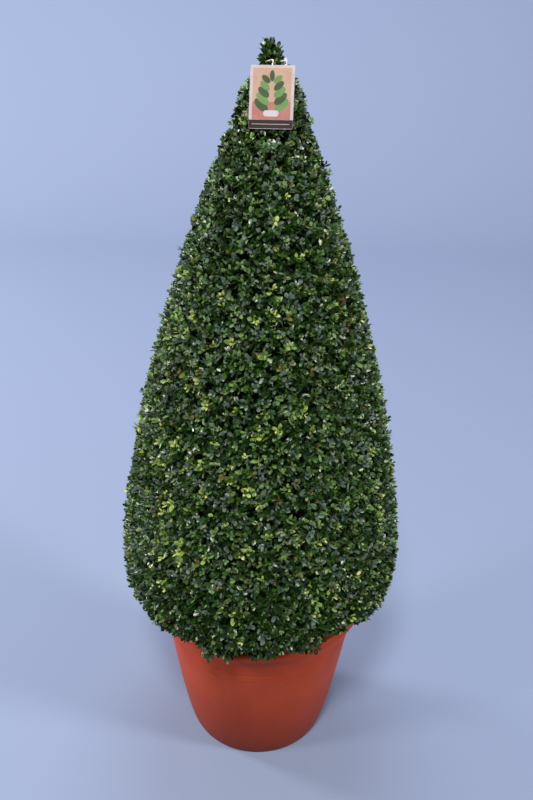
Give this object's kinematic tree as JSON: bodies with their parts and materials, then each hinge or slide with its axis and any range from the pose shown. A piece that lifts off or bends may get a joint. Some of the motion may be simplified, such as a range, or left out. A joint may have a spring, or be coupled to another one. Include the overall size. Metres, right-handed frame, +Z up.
{
  "type": "clipped boxwood cone in a pot",
  "caption": "Clipped boxwood cone on a short hidden stem in its round terracotta-coloured pot, with a picture label hanging from the tip.",
  "frame": {"origin": "centre of the pot's flat underside, on the ground", "axes": "+Z up along the plant's axis, -Y towards the side that the label hangs on, +X to the right seen from there"},
  "size_m": [0.534, 0.5354, 1.428],
  "materials": {
    "pot_plastic": "moulded polypropylene, terracotta colour, satin",
    "compost": "peat and bark potting compost",
    "bark": "pale fissured corky bark",
    "foliage": "small leathery evergreen leaves, glossy above",
    "label_card": "printed plastic card, satin",
    "label_strap": "white plastic strap"
  },
  "bodies": {
    "root": {"pot": "pot_plastic", "soil": "compost", "stem": "bark", "crown": "foliage", "crown_tip": "foliage", "label_card": "label_card", "label_strap": "label_strap"}
  },
  "joints": []
}
